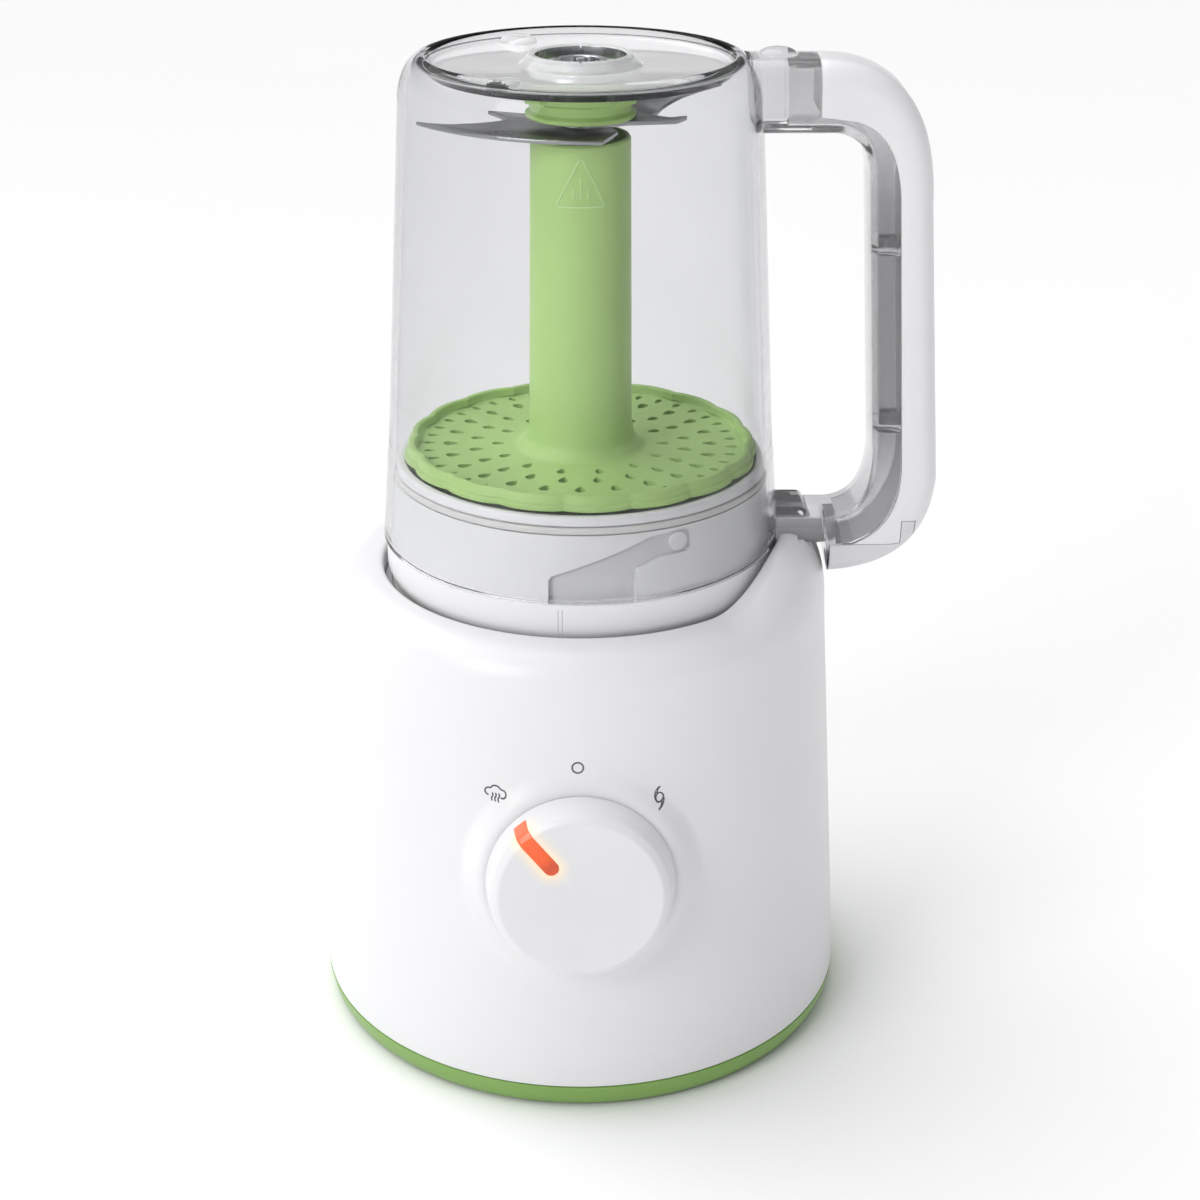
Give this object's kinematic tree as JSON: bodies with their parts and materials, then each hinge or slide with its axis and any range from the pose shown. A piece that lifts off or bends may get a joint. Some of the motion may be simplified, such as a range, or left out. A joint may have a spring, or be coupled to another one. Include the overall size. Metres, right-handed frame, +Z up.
{
  "type": "baby food maker",
  "caption": "Countertop steamer and blender: round white base with control knob, clear handled jar upside down on it with steaming basket, lid and blade unit.",
  "frame": {"origin": "bottom centre of the bounding box, on the surface that the rubber feet stand on", "axes": "+Z up along the axis of the base, +X from the base's axis towards the jar's handle, -Y towards the front, where the knob is"},
  "size_m": [0.1914, 0.1786, 0.3026],
  "materials": {
    "white_shell": "satin gloss",
    "grey_shell": "satin gloss",
    "green_trim": "satin",
    "light_green": "satin",
    "clear_plastic": "clear",
    "orange_window": "translucent",
    "blade_steel": "brushed",
    "machined_steel": "turned",
    "aluminium": "cast",
    "motor_iron": "laminated",
    "motor_winding": "wound copper",
    "brass": "turned",
    "silicone": "matte",
    "rubber": "matte",
    "dark_plastic": "moulded",
    "board": "coated"
  },
  "bodies": {
    "base": {"base_housing": "white_shell", "base_ring": "green_trim", "boiler": "aluminium", "bottom_plate": "dark_plastic", "bottom_screw_1": "machined_steel", "bottom_screw_2": "machined_steel", "bottom_screw_3": "machined_steel", "bottom_screw_4": "machined_steel", "brush_holder_left": "brass", "brush_holder_right": "brass", "circuit_board": "board", "cord_gland": "dark_plastic", "deck_seal": "silicone", "heating_element": "machined_steel", "heating_plate": "aluminium", "indicator_light": "orange_window", "lower_bearing": "machined_steel", "lower_motor_bracket": "aluminium", "motor_stator": "motor_iron", "rotary_switch": "dark_plastic", "rubber_foot_1": "rubber", "rubber_foot_2": "rubber", "rubber_foot_3": "rubber", "rubber_foot_4": "rubber", "seat_deck": "grey_shell", "shaft_seal": "silicone", "steam_nozzle": "white_shell", "steam_nozzle_seal": "silicone", "thermostat": "dark_plastic", "upper_bearing": "machined_steel", "upper_motor_bracket": "aluminium"},
    "control_knob": {"knob": "white_shell", "knob_pointer": "orange_window", "knob_shaft": "dark_plastic"},
    "motor_drive": {"motor_rotor": "motor_winding", "motor_fan": "dark_plastic", "drive_coupling": "machined_steel"},
    "filler_cap": {"boiler_cap": "green_trim", "boiler_cap_seal": "silicone"},
    "jar_lid": {"lid": "white_shell", "lid_seal": "silicone"},
    "basket": {"steaming_basket": "light_green"},
    "blending_jar": {"jar": "clear_plastic", "handle_cover": "white_shell", "handle_lower_cap": "grey_shell", "blade_carrier": "light_green", "blade_bush": "brass", "blade_shaft_seal": "silicone"},
    "blade_set": {"blade_shaft": "machined_steel", "blade_coupling": "machined_steel", "blade_hub": "light_green", "lower_blade": "blade_steel", "upper_blade": "blade_steel", "blade_spacer": "machined_steel", "blade_nut": "machined_steel"}
  },
  "joints": [
    {"name": "knob_turn", "type": "hinge", "parent": "base", "child": "control_knob", "pos_m": [-0.01175, -0.07679, 0.078], "axis": [0, -0.9979, 0.0649], "range_deg": [-80, 0]},
    {"name": "motor_spin", "type": "hinge", "parent": "base", "child": "motor_drive", "pos_m": [-0.01175, 0.00268, 0.045], "axis": [0, 0, 1], "continuous": true},
    {"name": "filler_cap_turn", "type": "hinge", "parent": "base", "child": "filler_cap", "pos_m": [-0.01175, 0.03768, 0.146], "axis": [0, 0, 1], "range_deg": [0, 90]},
    {"name": "lid_lift", "type": "slide", "parent": "base", "child": "jar_lid", "axis": [0, 0, 1], "range_m": [0, 0.08]},
    {"name": "basket_lift", "type": "slide", "parent": "jar_lid", "child": "basket", "axis": [0, 0, 1], "range_m": [0, 0.05]},
    {"name": "jar_lift", "type": "slide", "parent": "basket", "child": "blending_jar", "axis": [0, 0, 1], "range_m": [0, 0.13]},
    {"name": "blade_spin", "type": "hinge", "parent": "blending_jar", "child": "blade_set", "pos_m": [-0.01175, 0.00268, 0.28], "axis": [0, 0, 1], "continuous": true}
  ]
}
